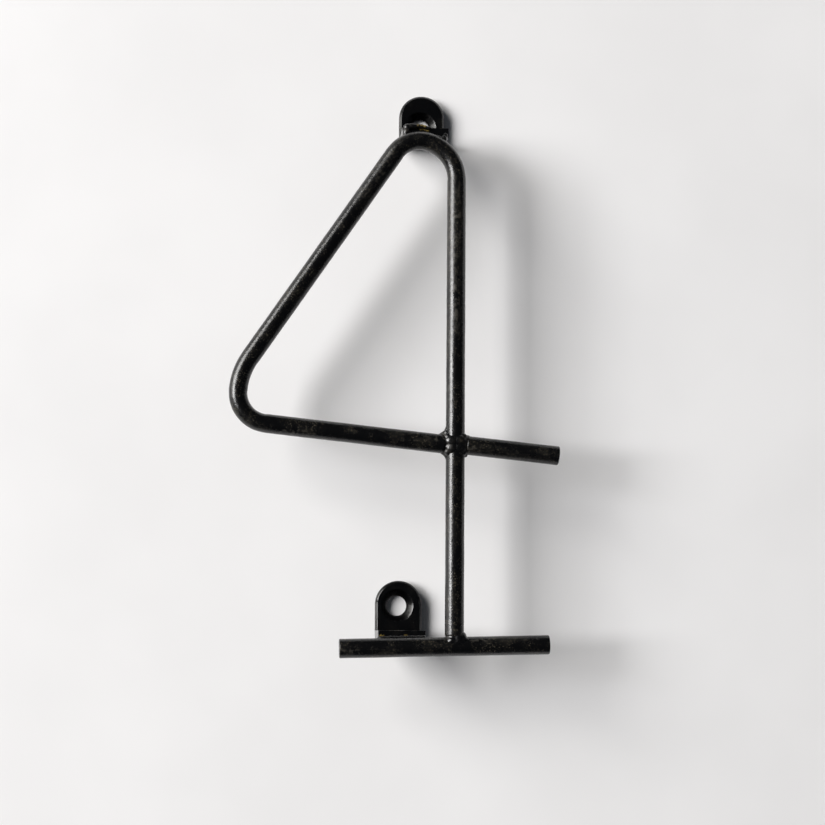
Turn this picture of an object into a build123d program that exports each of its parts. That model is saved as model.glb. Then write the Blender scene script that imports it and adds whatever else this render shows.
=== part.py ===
from build123d import *
import os

# Wall-mounted numeral 4, bent and welded from round steel bar, on two small screw brackets.
# Y = 0 is the wall and the numeral stands off it towards -Y. +Z is up and +X is right.
# The origin is on the axis of the upper screw hole, where it meets the wall.
# Sizes are in millimetres and degrees. Bar centre lines are given as (X, Z).

# round bar
bar_radius = 3.0
standoff = 20.0  # wall to the centre line of every bar
cut_edge = 0.25  # bevel that filing leaves on a sawn bar end

# The bent bar runs from its butt end beside the upright along the crossbar, round the left
# bend, up the diagonal, over the top bend and down the upright, which leans a little. A
# hand-made bend is tight where the bar was gripped and easier beyond, so each has two corners.
crossing = (10.0, -106.7)
crossbar_butt = (6.55, -106.55)
left_bend_corners = [(-58.45, -99.8), (-57.35, -84.8)]
left_bend_radii = [9.6, 20.8]
top_bend_corners = [(-4.95, -7.05), (10.3, -13.45)]
top_bend_radii = [9.6, 12.6]
upright_foot = (9.8, -165.9)

# stub that carries the crossbar on beyond the upright
stub_start = (13.55, -106.8)
stub_end = (42.55, -109.75)

# foot bar across the bottom of the upright
foot_bar_start = (-25.65, -169.85)
foot_bar_end = (39.25, -168.45)

# brackets: flat steel bent to an L, each with one countersunk screw hole
flat_thickness = 3.0
flat_width = 14.8
leg_reach = 17.7  # wall to the welded end of the leg
inside_bend = 1.2
ground_edge = 0.7  # bevel round the front of the tab
screw_hole_radius = 3.15
countersink_radius = 5.2
countersink_angle = 90
hole_offset = -0.55  # the holes were drilled a little left of the middle
upper_hole = (0.0, 0.0)
upper_tab_top = 10.75
upper_leg_top = -4.4
lower_hole = (-6.8, -156.55)
lower_tab_top = -148.65
lower_leg_top = -164.3

# weld beads
crossbar_web = 2.7  # size of the webs in the corners between the upright and the crossbar
stub_web = 1.7  # and between the upright and the stub
web_root = 1.2  # how deep a web starts inside the bars that cut it back
web_half_thickness = 1.6
crossbar_fall = 0.3  # drop of the crossbar's line from the crossing's middle to its side
foot_collar_radius = 4.1
foot_collar_centre = (10.35, -20.2, -166.5)
foot_collar_height = 5.2
foot_collar_edge = 1.2
seam_bead_radius = 1.6  # along the leg of each bracket
seam_y = -18.9
upper_seam = [(-4.95, -7.3), (-0.55, -6.6), (4.85, -8.0)]
lower_seam = [(-11.55, -166.7), (-5.75, -166.5), (-0.75, -166.45)]
upper_lump_radius = 2.1  # where the upper seam was started
upper_lump_centre = (-4.75, -18.5, -5.8)

bar_plane = Plane.XZ.offset(standoff)


def straight_bar(start, end):
    """A straight piece of round bar, sawn square and filed at both ends."""
    with BuildPart() as bar:
        with BuildLine(bar_plane) as axis:
            Line(start, end)
        with BuildSketch(Plane(axis.line @ 0, z_dir=axis.line % 0)):
            Circle(bar_radius)
        sweep()
        chamfer(bar.edges().filter_by(GeomType.CIRCLE), cut_edge)
    return bar


def bracket(hole, tab_top, leg_top):
    """An L bracket: a round-topped tab against the wall and a leg standing out below it."""
    hole_x, hole_z = hole
    middle_x = hole_x - hole_offset
    underside = leg_top - flat_thickness
    arc_centre = tab_top - flat_width / 2
    with BuildPart() as angle:
        with BuildSketch(Plane.YZ.offset(middle_x - flat_width / 2)) as side:
            with BuildLine():
                Polyline(
                    (0, tab_top),
                    (0, underside),
                    (-leg_reach, underside),
                    (-leg_reach, leg_top),
                    (-flat_thickness, leg_top),
                    (-flat_thickness, tab_top),
                    close=True,
                )
            make_face()
            outer_corner = side.vertices().sort_by_distance((0, underside, 0))[0]
            inner_corner = side.vertices().sort_by_distance((-flat_thickness, leg_top, 0))[0]
            fillet(outer_corner, inside_bend + flat_thickness)
            fillet(inner_corner, inside_bend)
        extrude(amount=flat_width)
        with BuildSketch(Plane.XZ):
            with Locations((middle_x, arc_centre)):
                Circle(flat_width / 2)
            with Locations((middle_x, (arc_centre + underside) / 2)):
                Rectangle(flat_width, arc_centre - underside)
        extrude(amount=leg_reach, mode=Mode.INTERSECT)
        tab_front = angle.faces().filter_by(Axis.Y).sort_by_distance((middle_x, -flat_thickness, tab_top))[0]
        bend_line = leg_top + inside_bend
        outline = tab_front.edges().filter_by(lambda edge: edge.center().Z > bend_line + 0.1)
        chamfer(outline, ground_edge)
        with Locations(Plane((hole_x, -flat_thickness, hole_z), x_dir=(1, 0, 0), z_dir=(0, -1, 0))):
            CounterSinkHole(screw_hole_radius, countersink_radius, flat_thickness, countersink_angle)
    return angle


def corner_weld(side, level, size):
    """A web of weld metal in one corner of the crossing. side is -1 for the crossbar's side of
    the upright and 1 for the stub's, and level is 1 above them and -1 below."""
    corner_x = crossing[0] + side * bar_radius
    corner_z = crossing[1] + level * bar_radius - side * crossbar_fall
    with BuildPart() as web:
        with BuildSketch(bar_plane):
            with BuildLine():
                Polyline(
                    (corner_x - side * web_root, corner_z - level * web_root),
                    (corner_x + side * size, corner_z - level * web_root / 2),
                    (corner_x - side * web_root / 2, corner_z + level * size),
                    close=True,
                )
            make_face()
        extrude(amount=web_half_thickness, both=True)
        for bar in (numeral_bar, crossbar_stub):
            add(bar.part, mode=Mode.SUBTRACT)
    return web


def seam_bead(points, lump, neighbours):
    """A weld bead run along a bracket's leg, with round ends and perhaps a lump on it."""
    with BuildPart() as bead:
        with BuildLine(Plane.XZ.offset(-seam_y)) as seam:
            ThreePointArc(*points)
        with BuildSketch(Plane(seam.line @ 0, z_dir=seam.line % 0)):
            Circle(seam_bead_radius)
        sweep()
        for end in (seam.line @ 0, seam.line @ 1):
            with Locations(end):
                Sphere(seam_bead_radius)
        if lump:
            with Locations(upper_lump_centre):
                Sphere(upper_lump_radius)
        for neighbour in neighbours:
            add(neighbour.part, mode=Mode.SUBTRACT)
    return bead


with BuildPart() as numeral_bar:
    with BuildLine(bar_plane) as axis:
        route = FilletPolyline(
            crossbar_butt,
            *left_bend_corners,
            *top_bend_corners,
            upright_foot,
            radius=[*left_bend_radii, *top_bend_radii],
        )
    with BuildSketch(Plane(axis.line @ 0, z_dir=axis.line % 0)):
        Circle(bar_radius)
    sweep()
print("length of the bent bar", round(route.length, 1))

crossbar_stub = straight_bar(stub_start, stub_end)
foot_bar = straight_bar(foot_bar_start, foot_bar_end)
upper_bracket = bracket(upper_hole, upper_tab_top, upper_leg_top)
lower_bracket = bracket(lower_hole, lower_tab_top, lower_leg_top)

with BuildPart() as foot_weld:
    with Locations(foot_collar_centre):
        Cylinder(foot_collar_radius, foot_collar_height)
    fillet(foot_weld.edges().filter_by(GeomType.CIRCLE), foot_collar_edge)
    add(numeral_bar.part, mode=Mode.SUBTRACT)
    add(foot_bar.part, mode=Mode.SUBTRACT)

pieces = {
    "numeral_bar": numeral_bar,
    "crossbar_stub": crossbar_stub,
    "foot_bar": foot_bar,
    "upper_bracket": upper_bracket,
    "lower_bracket": lower_bracket,
    "crossbar_upper_weld": corner_weld(-1, 1, crossbar_web),
    "crossbar_lower_weld": corner_weld(-1, -1, crossbar_web),
    "stub_upper_weld": corner_weld(1, 1, stub_web),
    "stub_lower_weld": corner_weld(1, -1, stub_web),
    "foot_weld": foot_weld,
    "upper_bracket_weld": seam_bead(upper_seam, True, [numeral_bar, upper_bracket]),
    "lower_bracket_weld": seam_bead(lower_seam, False, [foot_bar, lower_bracket]),
}

os.makedirs("parts", exist_ok=True)
for name, piece in pieces.items():
    piece.part.label = name
    export_step(piece.part, f"parts/{name}.step")
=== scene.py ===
import math

import bmesh
import bpy
from mathutils import Matrix, Vector, noise


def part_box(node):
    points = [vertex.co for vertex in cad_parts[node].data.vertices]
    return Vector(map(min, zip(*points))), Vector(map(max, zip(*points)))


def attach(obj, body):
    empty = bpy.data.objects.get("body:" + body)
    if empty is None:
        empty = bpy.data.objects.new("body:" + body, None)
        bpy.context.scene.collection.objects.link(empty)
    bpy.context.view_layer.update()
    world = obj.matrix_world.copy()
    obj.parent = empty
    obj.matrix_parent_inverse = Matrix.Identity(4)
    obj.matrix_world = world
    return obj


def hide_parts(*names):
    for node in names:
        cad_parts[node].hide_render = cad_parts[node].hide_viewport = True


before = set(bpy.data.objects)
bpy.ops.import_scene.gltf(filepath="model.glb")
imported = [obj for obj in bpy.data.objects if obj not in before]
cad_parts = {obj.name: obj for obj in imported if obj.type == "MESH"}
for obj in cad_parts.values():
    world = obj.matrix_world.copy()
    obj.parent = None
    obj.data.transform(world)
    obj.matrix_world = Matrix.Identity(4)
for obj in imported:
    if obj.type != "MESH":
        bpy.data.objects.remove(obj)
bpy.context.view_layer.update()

# Looks for a wall-mounted numeral 4 of blackened round bar, on two screw brackets.
# Lengths are in metres and the frame is the CAD model's: wall at Y = 0, viewer towards -Y.

MM = 0.001


def mm(x, y, z):
    return Vector((x, y, z)) * MM


def sizes(x, y, z):
    return (x * MM, y * MM, z * MM)


# bars and brackets, as the CAD model has them: centre lines as (x, z) in millimetres
BAR_RADIUS = 3.0 * MM
STANDOFF = 20.0 * MM
BENT_BAR_CORNERS = [
    (6.55, -106.55), (-58.45, -99.8), (-57.35, -84.8), (-4.95, -7.05), (10.3, -13.45), (9.8, -165.9),
]
BENT_BAR_RADII = [9.6, 20.8, 9.6, 12.6]
STUB_LINE = [(13.55, -106.8), (42.55, -109.75)]
FOOT_BAR_LINE = [(-25.65, -169.85), (39.25, -168.45)]
CROSSING = mm(10.0, -20.0, -106.7)
UPRIGHT_FOOT = mm(9.8, -20.0, -165.9)
FLAT_THICKNESS = 3.0 * MM

# bar surfaces
RING_STEP = 0.5 * MM
RING_SIDES = 64
BEND_FLATTENING = 0.03  # how much a tight bend thins the bar in its own plane
TIGHT_BEND = 9.6 * MM
# a sawn end's filed bevel, as (mm from the end, share of the radius)
END_BEVEL = [(0.0, 0.9), (0.04, 0.94), (0.11, 0.975), (0.22, 0.995)]

# welds and bracket edges
WELD_VOXEL = 0.17 * MM
CORE_INSET = 0.28 * MM  # how far the bar cores inside a weld lie under the bars' own surface
BRACKET_EDGE = 0.16 * MM

# stage
WALL_GAP = 0.3 * MM
LIGHT_DISTANCE = 3.2

# colours
BAR_BLACK = (0.0007, 0.0007, 0.0008)
BAR_BROWN = (0.0048, 0.004, 0.0028)
BAR_SCUFF = (0.07, 0.064, 0.052)
BAR_SPECK = (0.1, 0.088, 0.064)
BAR_WORN = (0.13, 0.11, 0.08)
FLAT_BLACK = (0.0006, 0.0006, 0.0007)
FLAT_BROWN = (0.0028, 0.0024, 0.002)
FLAT_BARE = (0.16, 0.14, 0.11)
WELD_BLACK = (0.0009, 0.0009, 0.001)
WELD_BROWN = (0.009, 0.007, 0.0045)
# lighter specks of bare weld metal, also a painted glint
WELD_BARE_AND_GLINT = (0.14, 0.12, 0.09)
# gold heat tint, bright enough that it is also a painted highlight on the bracket legs' edges
GOLD_OXIDE_AND_HIGHLIGHT = (0.5, 0.36, 0.1)


# ---------------------------------------------------------------- node helpers

def new_material(name):
    """An empty node material, with its tree and its principled shader."""
    material = bpy.data.materials.new(name)
    material.use_nodes = True
    tree = material.node_tree
    return material, tree, tree.nodes["Principled BSDF"]


def noise_node(tree, vector, scale, detail=4.0, roughness=0.55, distortion=0.0):
    node = tree.nodes.new("ShaderNodeTexNoise")
    node.inputs["Scale"].default_value = scale
    node.inputs["Detail"].default_value = detail
    node.inputs["Roughness"].default_value = roughness
    node.inputs["Distortion"].default_value = distortion
    tree.links.new(vector, node.inputs["Vector"])
    return node.outputs["Fac"]


def remap(tree, value, low, high, out_low=0.0, out_high=1.0):
    node = tree.nodes.new("ShaderNodeMapRange")
    node.interpolation_type = "SMOOTHSTEP"
    for socket, number in zip(("From Min", "From Max", "To Min", "To Max"), (low, high, out_low, out_high)):
        node.inputs[socket].default_value = number
    tree.links.new(value, node.inputs["Value"])
    return node.outputs["Result"]


def combine(tree, operation, a, b):
    """A maths node. Each of a and b is a socket or a number."""
    node = tree.nodes.new("ShaderNodeMath")
    node.operation = operation
    for socket, value in zip(node.inputs, (a, b)):
        if isinstance(value, (int, float)):
            socket.default_value = value
        else:
            tree.links.new(value, socket)
    return node.outputs[0]


def blend_colour(tree, factor, a, b):
    """Mixes two colours. Each of a and b is a socket or an (r, g, b)."""
    node = tree.nodes.new("ShaderNodeMix")
    node.data_type = "RGBA"
    tree.links.new(factor, node.inputs["Factor"])
    for socket, value in zip((node.inputs[6], node.inputs[7]), (a, b)):
        if isinstance(value, tuple):
            socket.default_value = (*value, 1.0)
        else:
            tree.links.new(value, socket)
    return node.outputs[2]


def bump(tree, height, distance, strength=1.0, below=None):
    node = tree.nodes.new("ShaderNodeBump")
    node.inputs["Strength"].default_value = strength
    node.inputs["Distance"].default_value = distance
    tree.links.new(height, node.inputs["Height"])
    if below is not None:
        tree.links.new(below, node.inputs["Normal"])
    return node.outputs["Normal"]


def edge_mask(tree, radius, low, high):
    """1 along sharp edges and 0 on open surfaces."""
    rounded = tree.nodes.new("ShaderNodeBevel")
    rounded.samples = 6
    rounded.inputs["Radius"].default_value = radius
    geometry = tree.nodes.new("ShaderNodeNewGeometry")
    dot = tree.nodes.new("ShaderNodeVectorMath")
    dot.operation = "DOT_PRODUCT"
    tree.links.new(rounded.outputs["Normal"], dot.inputs[0])
    tree.links.new(geometry.outputs["Normal"], dot.inputs[1])
    return remap(tree, combine(tree, "SUBTRACT", 1.0, dot.outputs["Value"]), low, high)


def spot_mask(tree, position, places, reach):
    """1 at each of some places on the object, fading to 0 at its reach."""
    total = None
    for place in places:
        distance = tree.nodes.new("ShaderNodeVectorMath")
        distance.operation = "DISTANCE"
        tree.links.new(position, distance.inputs[0])
        distance.inputs[1].default_value = place
        near = remap(tree, distance.outputs["Value"], 0.0, reach, 1.0, 0.0)
        total = near if total is None else combine(tree, "MAXIMUM", total, near)
    return total


# ------------------------------------------------------------------- materials

def bar_material():
    """Semi-gloss black over mottled mill scale: long rolling streaks, brown patches, grey scuffs."""
    material, tree, shader = new_material("blackened_bar")
    coords = tree.nodes.new("ShaderNodeTexCoord")
    place = coords.outputs["Object"]
    along = tree.nodes.new("ShaderNodeMapping")
    along.inputs["Scale"].default_value = (1.0, 0.16, 1.0)
    tree.links.new(coords.outputs["UV"], along.inputs["Vector"])
    streaks = noise_node(tree, along.outputs["Vector"], 95.0, 5.0, 0.6)
    patches = noise_node(tree, place, 160.0, 5.0, 0.62, 0.6)
    grain = noise_node(tree, place, 900.0, 4.0, 0.6)
    fine = noise_node(tree, place, 2600.0, 3.0, 0.5)

    brown = remap(tree, patches, 0.5, 0.72)
    colour = blend_colour(tree, brown, BAR_BLACK, BAR_BROWN)
    scuffed = combine(tree, "MULTIPLY", remap(tree, streaks, 0.54, 0.62), remap(tree, grain, 0.5, 0.6))
    colour = blend_colour(tree, combine(tree, "MULTIPLY", scuffed, 0.5), colour, BAR_SCUFF)
    specks = combine(tree, "MULTIPLY", remap(tree, fine, 0.58, 0.66), remap(tree, patches, 0.42, 0.58))
    colour = blend_colour(tree, combine(tree, "MULTIPLY", specks, 0.7), colour, BAR_SPECK)
    worn = edge_mask(tree, 0.35 * MM, 0.06, 0.3)
    worn = combine(tree, "MULTIPLY", worn, remap(tree, patches, 0.45, 0.65))
    colour = blend_colour(tree, combine(tree, "MULTIPLY", worn, 0.6), colour, BAR_WORN)
    tree.links.new(colour, shader.inputs["Base Color"])

    roughness = combine(
        tree, "ADD",
        remap(tree, patches, 0.3, 0.7, 0.2, 0.28),
        remap(tree, streaks, 0.35, 0.7, 0.0, 0.07))
    roughness = combine(tree, "ADD", roughness, combine(tree, "MULTIPLY", scuffed, 0.1))
    tree.links.new(roughness, shader.inputs["Roughness"])
    shader.inputs["IOR"].default_value = 1.52
    shader.inputs["Specular IOR Level"].default_value = 0.5

    normal = bump(tree, streaks, 0.12 * MM, 0.8)
    normal = bump(tree, grain, 0.1 * MM, 0.9, normal)
    normal = bump(tree, fine, 0.03 * MM, 0.9, normal)
    tree.links.new(normal, shader.inputs["Normal"])
    return material


def flat_material():
    """The brackets' deep black, with ground bevels, bare worn spots, and gold heat tint by the welds, whose
    bright spots on the legs' top edges are also a painted highlight.
    """
    material, tree, shader = new_material("blackened_flat")
    coords = tree.nodes.new("ShaderNodeTexCoord")
    place = coords.outputs["Object"]
    patches = noise_node(tree, place, 240.0, 5.0, 0.6, 0.4)
    grain = noise_node(tree, place, 1100.0, 4.0, 0.6)
    brushed = tree.nodes.new("ShaderNodeMapping")
    brushed.inputs["Scale"].default_value = (1.0, 1.0, 0.12)
    tree.links.new(place, brushed.inputs["Vector"])
    scratches = noise_node(tree, brushed.outputs["Vector"], 2600.0, 3.0, 0.5)

    colour = blend_colour(tree, remap(tree, patches, 0.48, 0.75), FLAT_BLACK, FLAT_BROWN)
    bare = combine(tree, "MULTIPLY", edge_mask(tree, 0.3 * MM, 0.03, 0.2), remap(tree, patches, 0.5, 0.62))
    colour = blend_colour(tree, combine(tree, "MULTIPLY", bare, 0.75), colour, FLAT_BARE)
    # painted highlight: gold heat-tint spots where the light catches the legs' top edges
    heat_highlight_mask = spot_mask(tree, place, heat_tint_highlight_spots(), 1.15 * MM)
    heat_highlight_tint = combine(tree, "MULTIPLY", heat_highlight_mask, remap(tree, grain, 0.46, 0.56))
    colour = blend_colour(tree, combine(tree, "MULTIPLY", heat_highlight_tint, 0.8), colour, GOLD_OXIDE_AND_HIGHLIGHT)
    tree.links.new(colour, shader.inputs["Base Color"])

    roughness = combine(
        tree, "ADD",
        remap(tree, patches, 0.3, 0.7, 0.15, 0.23),
        remap(tree, scratches, 0.3, 0.7, 0.0, 0.05))
    tree.links.new(roughness, shader.inputs["Roughness"])
    shader.inputs["IOR"].default_value = 1.5
    shader.inputs["Specular IOR Level"].default_value = 0.5

    normal = bump(tree, scratches, 0.012 * MM, 0.7)
    normal = bump(tree, grain, 0.03 * MM, 0.7, normal)
    tree.links.new(normal, shader.inputs["Normal"])
    return material


def weld_material():
    """Weld metal under thin black: rougher, brown in patches, with a few bare specks that are also a
    painted glint, and gold oxide on the lump over the upper bracket's leg, bright enough to be a painted
    highlight."""
    material, tree, shader = new_material("weld_metal")
    coords = tree.nodes.new("ShaderNodeTexCoord")
    place = coords.outputs["Object"]
    patches = noise_node(tree, place, 320.0, 5.0, 0.62, 0.5)
    grain = noise_node(tree, place, 1300.0, 4.0, 0.6)
    colour = blend_colour(tree, remap(tree, patches, 0.46, 0.7), WELD_BLACK, WELD_BROWN)
    # lighter specks: partly bare metal, partly a painted glint
    bare_and_glint_specks = combine(tree, "MULTIPLY", remap(tree, grain, 0.6, 0.68), remap(tree, patches, 0.5, 0.6))
    colour = blend_colour(tree, combine(tree, "MULTIPLY", bare_and_glint_specks, 0.45), colour, WELD_BARE_AND_GLINT)
    # painted highlight: gold heat-tint spots on the weld lump along the upper leg's top edge
    gold = [mm(-1.9, -18.9, -3.6), mm(-0.9, -18.9, -3.6), mm(0.1, -18.8, -3.8)]
    heat_highlight_mask = spot_mask(tree, place, gold, 0.9 * MM)
    heat_highlight_tint = combine(tree, "MULTIPLY", heat_highlight_mask, remap(tree, grain, 0.44, 0.54))
    colour = blend_colour(tree, combine(tree, "MULTIPLY", heat_highlight_tint, 0.85), colour, GOLD_OXIDE_AND_HIGHLIGHT)
    tree.links.new(colour, shader.inputs["Base Color"])
    tree.links.new(remap(tree, patches, 0.3, 0.7, 0.2, 0.42), shader.inputs["Roughness"])
    shader.inputs["IOR"].default_value = 1.55
    shader.inputs["Specular IOR Level"].default_value = 0.5
    normal = bump(tree, patches, 0.12 * MM, 0.6)
    normal = bump(tree, grain, 0.04 * MM, 0.8, normal)
    tree.links.new(normal, shader.inputs["Normal"])
    return material


def heat_tint_highlight_spots():
    """Where welding has left gold oxide on the brackets' leg ends, at the top edges where the light catches
    them, so the bright gold is also a painted highlight.
    """
    upper_low, upper_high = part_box("upper_bracket")
    lower_low, lower_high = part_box("lower_bracket")
    upper_edge = upper_low.z + FLAT_THICKNESS
    lower_edge = lower_low.z + FLAT_THICKNESS
    middle = (upper_low.x + upper_high.x) / 2
    return [
        (middle - 1.9 * MM, upper_low.y, upper_edge),
        (middle - 0.5 * MM, upper_low.y, upper_edge),
        (middle + 0.6 * MM, upper_low.y, upper_edge - 0.3 * MM),
        (lower_low.x + 1.2 * MM, lower_low.y, lower_edge - 2.0 * MM),
        (lower_low.x + 8.6 * MM, lower_low.y, lower_edge - 2.1 * MM),
    ]


# ------------------------------------------------------------------------ bars

def rounded_path(corners, radii):
    """Points and directions every RING_STEP along straight runs joined by tangent arcs."""
    points = [Vector(corners[0])]
    for before, corner, after, radius in zip(corners, corners[1:], corners[2:], radii):
        corner = Vector(corner)
        incoming = (corner - Vector(before)).normalized()
        outgoing = (Vector(after) - corner).normalized()
        turn = incoming.angle_signed(outgoing)
        reach = radius * math.tan(abs(turn) / 2)
        start = corner - incoming * reach
        side = -1 if turn > 0 else 1
        centre = start + Vector((-incoming.y, incoming.x)) * radius * side
        steps = max(8, int(radius * abs(turn) * MM / RING_STEP))
        for i in range(steps + 1):
            spoke = start - centre
            spoke.rotate(Matrix.Rotation(side * abs(turn) * i / steps, 2))
            points.append(centre + spoke)
    points.append(Vector(corners[-1]))

    dense = []
    for a, b in zip(points, points[1:]):
        count = max(1, round((b - a).length * MM / RING_STEP))
        dense += [a.lerp(b, i / count) for i in range(count)]
    dense.append(points[-1])
    return [Vector((p.x * MM, -STANDOFF, p.y * MM)) for p in dense]


def bar_surface(point, outward, bend):
    """The bar's radius at one place: rolled bar is never quite round, and scale leaves shallow pits."""
    swell = noise.noise(point * 110.0)
    ripple = noise.noise(point * 420.0 + Vector((7.0, 3.0, 1.0)))
    pit = noise.noise(point * 1500.0)
    hollow = 0.009 * (1 + swell) + 0.005 * (1 + ripple) + 0.016 * max(0.0, pit - 0.2)
    in_plane = 1.0 - outward.y ** 2
    return BAR_RADIUS * (1 - hollow - BEND_FLATTENING * bend * in_plane)


def bar_piece(name, path):
    """A round bar along a path, as one closed mesh with sawn and filed ends."""
    bm = bmesh.new()
    uv = bm.loops.layers.uv.new("UVMap")
    across = Vector((0.0, 1.0, 0.0))
    rings = []
    lengths = []
    travelled = 0.0
    for i, point in enumerate(path):
        before = path[max(0, i - 1)]
        after = path[min(len(path) - 1, i + 1)]
        along = (after - before).normalized()
        if 0 < i < len(path) - 1:
            bend = min(1.0, (path[i] - before).angle(after - path[i], 0.0) / RING_STEP * TIGHT_BEND)
        else:
            bend = 0.0
        if i:
            travelled += (point - before).length
        normal = across.cross(along)
        for inset, share in end_profile(i, len(path)):
            centre = point + along * inset
            ring = []
            for k in range(RING_SIDES):
                angle = 2 * math.pi * k / RING_SIDES
                outward = normal * math.cos(angle) + across * math.sin(angle)
                radius = bar_surface(centre + outward * BAR_RADIUS, outward, bend) * share
                ring.append(bm.verts.new(centre + outward * radius))
            rings.append(ring)
            lengths.append(travelled + inset)
    # the UV map is in metres: round the bar, then along it
    side = 2 * math.pi * BAR_RADIUS / RING_SIDES
    for ring, following, s, t in zip(rings, rings[1:], lengths, lengths[1:]):
        for k in range(RING_SIDES):
            j = (k + 1) % RING_SIDES
            face = bm.faces.new((ring[k], ring[j], following[j], following[k]))
            face.smooth = True
            corners = ((k * side, s), ((k + 1) * side, s), ((k + 1) * side, t), (k * side, t))
            for loop, corner in zip(face.loops, corners):
                loop[uv].uv = corner
    bm.faces.new(list(reversed(rings[0])))
    bm.faces.new(rings[-1])
    bmesh.ops.recalc_face_normals(bm, faces=bm.faces)
    return finish_piece(name, bm)


def end_profile(i, count):
    """The rings to make at path point i, as (shift along the bar, share of the radius). A sawn
    end has one for each step of its filed bevel."""
    if i == 0:
        return [(distance * MM, share) for distance, share in END_BEVEL]
    if i == count - 1:
        return [(-distance * MM, share) for distance, share in reversed(END_BEVEL)]
    return [(0.0, 1.0)]


def finish_piece(name, bm):
    mesh = bpy.data.meshes.new(name)
    bm.to_mesh(mesh)
    bm.free()
    piece = bpy.data.objects.new(name, mesh)
    bpy.context.scene.collection.objects.link(piece)
    return piece


# ----------------------------------------------------------------------- welds

def weld_piece(name, beads, bars=(), smoothing=6):
    """Weld metal: overlapping beads and thin copies of the bars that they join, fused into one
    closed skin. Smoothing it makes the hollow toes where the weld runs out onto each bar."""
    bm = bmesh.new()
    for centre, size in beads:
        shape = Matrix.Translation(centre) @ Matrix.Diagonal((*size, 1.0))
        bmesh.ops.create_icosphere(bm, subdivisions=3, radius=1.0, matrix=shape)
    for start, end, radius in bars:
        run = end - start
        turn = run.to_track_quat("Z", "Y").to_matrix().to_4x4()
        place = Matrix.Translation((start + end) / 2) @ turn
        bmesh.ops.create_cone(
            bm, cap_ends=True, segments=32, radius1=radius, radius2=radius, depth=run.length, matrix=place)
    rough = finish_piece(name + "_rough", bm)
    fused = rough.modifiers.new("fuse", "REMESH")
    fused.mode = "VOXEL"
    fused.voxel_size = WELD_VOXEL
    eased = rough.modifiers.new("ease", "SMOOTH")
    eased.factor = 0.5
    eased.iterations = smoothing
    graph = bpy.context.evaluated_depsgraph_get()
    mesh = bpy.data.meshes.new_from_object(rough.evaluated_get(graph))
    bpy.data.objects.remove(rough)
    mesh.name = name
    normals = [vertex.normal.copy() for vertex in mesh.vertices]
    for vertex, normal in zip(mesh.vertices, normals):
        lump = noise.noise(vertex.co * 380.0) * 0.08 + noise.noise(vertex.co * 1100.0) * 0.025
        vertex.co += normal * lump * MM
    for polygon in mesh.polygons:
        polygon.use_smooth = True
    piece = bpy.data.objects.new(name, mesh)
    bpy.context.scene.collection.objects.link(piece)
    return piece


def bar_core(a, b):
    """A slightly thin copy of a stretch of bar, from a to b."""
    return (a, b, BAR_RADIUS - CORE_INSET)


def crossing_weld(name, side, level, web, bars):
    """A web of weld in one corner of the crossing, with the fill in front and behind it."""
    beads = []
    for along, up, size in web:
        x = side * (BAR_RADIUS / MM + along)
        z = level * (BAR_RADIUS / MM + up)
        beads.append((CROSSING + mm(x, 0.0, z), sizes(size, size * 1.15, size)))
    for depth in (-1.35, 1.2):
        beads.append((CROSSING + mm(side * 2.35, depth, level * 2.2), sizes(1.35, 1.2, 1.35)))
    beads.append((CROSSING + mm(side * 1.0, -2.0, level * 1.1), sizes(2.3, 1.4, 1.9)))
    return weld_piece(name, beads, bars, smoothing=14)


def make_welds():
    upright = bar_core(CROSSING + mm(-0.02, 0, -5.5), CROSSING + mm(0.03, 0, 5.8))
    crossbar = bar_core(CROSSING + mm(-6.2, 0, 0.72), CROSSING + mm(-1.0, 0, 0.18))
    stub = bar_core(CROSSING + mm(1.0, 0, 0.1), CROSSING + mm(5.6, 0, -0.27))
    pieces = [
        crossing_weld(
            "crossbar_upper_bead", -1, 1,
            [(-0.3, 0.5, 1.3), (0.6, 0.1, 1.1), (-0.5, 1.5, 1.0), (1.3, 0.1, 0.75), (-0.55, 2.3, 0.7)],
            [upright, crossbar]),
        crossing_weld(
            "crossbar_lower_bead", -1, -1,
            [(-0.3, -0.3, 1.3), (0.5, -0.7, 1.1), (-0.5, 0.6, 1.0), (1.1, -0.8, 0.8), (-0.55, 1.3, 0.7)],
            [upright, crossbar]),
        crossing_weld(
            "stub_upper_bead", 1, 1,
            [(0.1, -0.7, 1.1), (0.9, -0.75, 0.95)],
            [upright, stub]),
        crossing_weld(
            "stub_lower_bead", 1, -1,
            [(-0.4, -0.1, 1.1), (0.2, 0.2, 0.75)],
            [upright, stub]),
    ]

    foot = UPRIGHT_FOOT
    collar = [
        (foot + mm(2.2, -0.2, -0.2), sizes(1.6, 2.5, 1.6)),
        (foot + mm(1.2, -0.8, -0.4), sizes(2.3, 2.3, 1.6)),
        (foot + mm(0.9, -1.3, -1.7), sizes(2.5, 1.9, 1.6)),
        (foot + mm(2.7, -1.0, -1.3), sizes(1.9, 1.9, 1.3)),
        (foot + mm(-0.7, -1.5, -1.5), sizes(1.9, 1.6, 1.4)),
        (foot + mm(0.2, 1.5, -0.4), sizes(2.7, 1.7, 1.5)),
    ]
    pieces.append(weld_piece(
        "foot_bead", collar,
        [
            bar_core(foot + mm(0, 0, -1.0), foot + mm(-0.01, 0, 5.0)),
            bar_core(foot + mm(-5.0, 0, -3.28), foot + mm(6.0, 0, -3.04)),
        ],
        smoothing=18))

    pieces.append(weld_piece("upper_bracket_bead", upper_seam_beads(), smoothing=4))
    pieces.append(weld_piece("lower_bracket_bead", lower_seam_beads(), smoothing=4))
    return pieces


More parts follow.
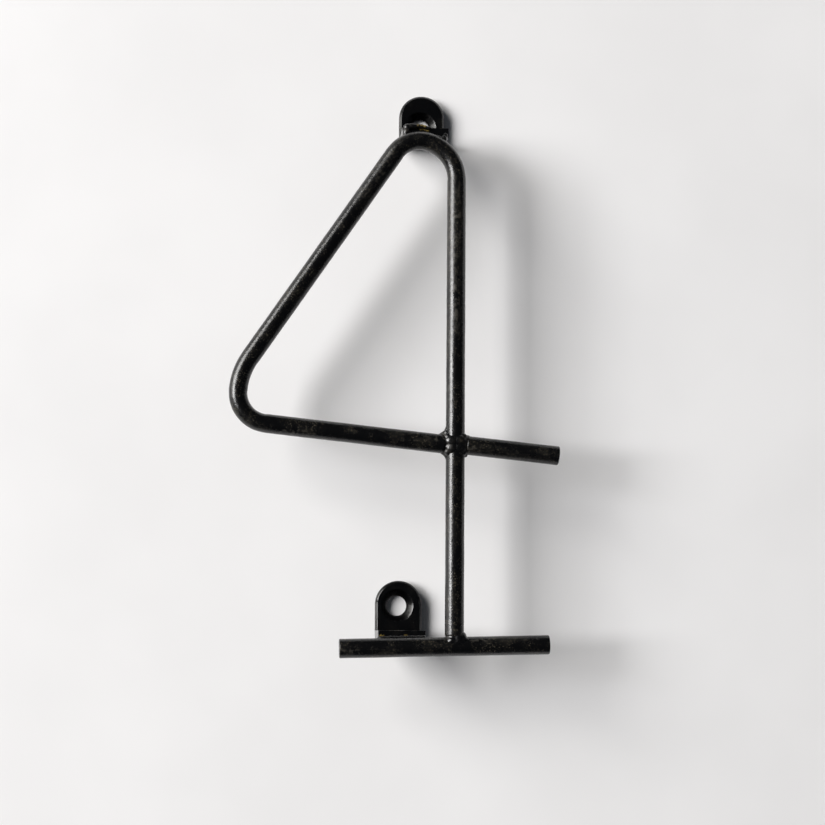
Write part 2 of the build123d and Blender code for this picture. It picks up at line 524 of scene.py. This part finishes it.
def upper_seam_beads():
    """The seam along the top bend, behind its crest, with the lump that laps the leg's corner."""
    beads = []
    count = 22
    for i in range(count):
        x = -5.2 + 11.0 * i / (count - 1)
        drop = 0.035 * (x + 0.75) ** 2
        size = 1.15 + 0.25 * noise.noise(Vector((i * 0.6, 0.3, 0.0)))
        beads.append((mm(x, -18.3, -7.2 - drop), sizes(1.0, 1.2, size)))
    beads += [
        (mm(-5.3, -18.1, -4.5), sizes(1.35, 1.1, 1.2)),
        (mm(-4.0, -18.2, -4.2), sizes(1.35, 1.0, 1.0)),
        (mm(-3.0, -18.2, -4.2), sizes(1.2, 0.9, 0.9)),
        (mm(-2.0, -18.2, -4.1), sizes(1.2, 0.9, 0.75)),
        (mm(-0.9, -18.2, -4.15), sizes(1.2, 0.9, 0.7)),
        (mm(0.2, -18.1, -4.3), sizes(1.2, 0.8, 0.65)),
        (mm(1.4, -18.0, -4.6), sizes(1.2, 0.7, 0.6)),
        (mm(-5.6, -18.4, -6.3), sizes(1.3, 1.2, 1.6)),
        (mm(-5.9, -18.2, -8.2), sizes(1.2, 1.5, 1.5)),
        (mm(6.4, -18.0, -8.1), sizes(1.1, 1.4, 1.4)),
        (mm(6.9, -17.8, -7.0), sizes(0.8, 1.0, 1.1)),
    ]
    return beads


def lower_seam_beads():
    """The seam along the foot bar, under the end of the lower bracket's leg."""
    beads = []
    count = 24
    for i in range(count):
        x = -12.6 + 13.0 * i / (count - 1)
        size = 0.9 + 0.25 * noise.noise(Vector((i * 0.5, 4.0, 0.0)))
        beads.append((mm(x, -18.3, -166.7 + 0.022 * (x + 6.0)), sizes(1.0, 1.1, size)))
    beads.append((mm(-13.0, -18.1, -166.9), sizes(1.0, 1.1, 0.9)))
    return beads


# -------------------------------------------------------------------- brackets

def soften(node):
    """Rounds a CAD bracket's edges a little, as filing leaves them, without moving it."""
    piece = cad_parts[node]
    joined = piece.modifiers.new("join", "WELD")
    joined.merge_threshold = 0.001 * MM
    edges = piece.modifiers.new("edges", "BEVEL")
    edges.width = BRACKET_EDGE
    edges.segments = 3
    edges.limit_method = "ANGLE"
    edges.angle_limit = math.radians(28)
    edges.harden_normals = True
    return piece


# ----------------------------------------------------------------------- stage

def make_wall():
    """A plain pale wall behind the numeral. Its back isn't seen, so that other views can look
    at the object from behind."""
    bm = bmesh.new()
    bmesh.ops.create_grid(bm, x_segments=2, y_segments=2, size=3.0)
    wall = finish_piece("wall", bm)
    wall.rotation_euler = (math.radians(90), 0, 0)
    wall.location = (0.0, WALL_GAP, -0.08)
    material, tree, shader = new_material("wall_paint")
    coords = tree.nodes.new("ShaderNodeTexCoord")
    mottle = noise_node(tree, coords.outputs["Object"], 14.0, 3.0, 0.5)
    colour = blend_colour(tree, remap(tree, mottle, 0.3, 0.7), (0.86, 0.855, 0.85), (0.9, 0.895, 0.89))
    tree.links.new(colour, shader.inputs["Base Color"])
    shader.inputs["Roughness"].default_value = 0.9
    shader.inputs["Specular IOR Level"].default_value = 0.1
    clear = tree.nodes.new("ShaderNodeBsdfTransparent")
    geometry = tree.nodes.new("ShaderNodeNewGeometry")
    path = tree.nodes.new("ShaderNodeLightPath")
    mix = tree.nodes.new("ShaderNodeMixShader")
    unseen = combine(tree, "MULTIPLY", geometry.outputs["Backfacing"], path.outputs["Is Camera Ray"])
    tree.links.new(unseen, mix.inputs[0])
    tree.links.new(shader.outputs[0], mix.inputs[1])
    tree.links.new(clear.outputs[0], mix.inputs[2])
    tree.links.new(mix.outputs[0], tree.nodes["Material Output"].inputs["Surface"])
    wall.data.materials.append(material)


def make_light(name, azimuth, elevation, width, height, power, colour):
    """A soft area light seen from the numeral at that azimuth left of the viewer."""
    target = Vector((0.0, -STANDOFF, -0.09))
    a = math.radians(azimuth)
    e = math.radians(elevation)
    away = Vector((-math.sin(a) * math.cos(e), -math.cos(a) * math.cos(e), math.sin(e)))
    data = bpy.data.lights.new(name, "AREA")
    data.shape = "RECTANGLE"
    data.size = width
    data.size_y = height
    data.energy = power
    data.color = colour
    light = bpy.data.objects.new(name, data)
    light.location = target + away * LIGHT_DISTANCE
    light.rotation_euler = away.to_track_quat("Z", "Y").to_euler()
    bpy.context.scene.collection.objects.link(light)


def make_lights():
    """A window to the left, its upper part and its curtain, and a dim room that only reflections
    and fill see: the camera sees plain grey past the wall."""
    make_light("window", 58, 6, 1.24, 1.2, 109.0, (0.995, 0.985, 0.99))
    make_light("window_top", 57, 29, 1.6, 1.33, 76.0, (1.0, 0.982, 0.962))
    make_light("curtain", 79, 12, 1.0, 1.73, 26.0, (1.0, 0.98, 0.94))
    world = bpy.data.worlds.new("room")
    bpy.context.scene.world = world
    world.use_nodes = True
    tree = world.node_tree
    room = tree.nodes["Background"]
    room.inputs["Color"].default_value = (0.82, 0.88, 1.0, 1.0)
    room.inputs["Strength"].default_value = 0.055
    seen = tree.nodes.new("ShaderNodeBackground")
    seen.inputs["Color"].default_value = (0.8, 0.8, 0.8, 1.0)
    path = tree.nodes.new("ShaderNodeLightPath")
    mix = tree.nodes.new("ShaderNodeMixShader")
    tree.links.new(path.outputs["Is Camera Ray"], mix.inputs[0])
    tree.links.new(room.outputs[0], mix.inputs[1])
    tree.links.new(seen.outputs[0], mix.inputs[2])
    tree.links.new(mix.outputs[0], tree.nodes["World Output"].inputs["Surface"])


def make_camera():
    """Stands 0.55 m from the wall, low and to the left, and looks up to the right a little."""
    place = mm(-45.35, -545.6, -161.9)
    aim = mm(-3.45, -20.0, -96.7)
    data = bpy.data.cameras.new("camera")
    data.sensor_width = 36.0
    data.lens = 74.2
    data.clip_start = 0.01
    camera = bpy.data.objects.new("camera", data)
    look = (aim - place).to_track_quat("-Z", "Y")
    roll = Matrix.Rotation(math.radians(0.27), 4, "Z")
    camera.matrix_world = Matrix.Translation(place) @ look.to_matrix().to_4x4() @ roll
    bpy.context.scene.collection.objects.link(camera)
    bpy.context.scene.camera = camera


# ----------------------------------------------------------------------- build

make_camera()
make_lights()
make_wall()
bpy.context.scene.view_settings.view_transform = "Standard"

black_bar = bar_material()
black_flat = flat_material()
weld_metal = weld_material()

bars = {
    "numeral_bar": rounded_path(BENT_BAR_CORNERS, BENT_BAR_RADII),
    "crossbar_stub": rounded_path(STUB_LINE, []),
    "foot_bar": rounded_path(FOOT_BAR_LINE, []),
}
for node, path in bars.items():
    piece = bar_piece(node + "_steel", path)
    piece.data.materials.append(black_bar)
    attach(piece, "root")
    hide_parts(node)

for node in ("upper_bracket", "lower_bracket"):
    piece = soften(node)
    piece.data.materials.clear()
    piece.data.materials.append(black_flat)

for piece in make_welds():
    piece.data.materials.append(weld_metal)
    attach(piece, "root")
    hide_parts(piece.name.replace("_bead", "_weld"))
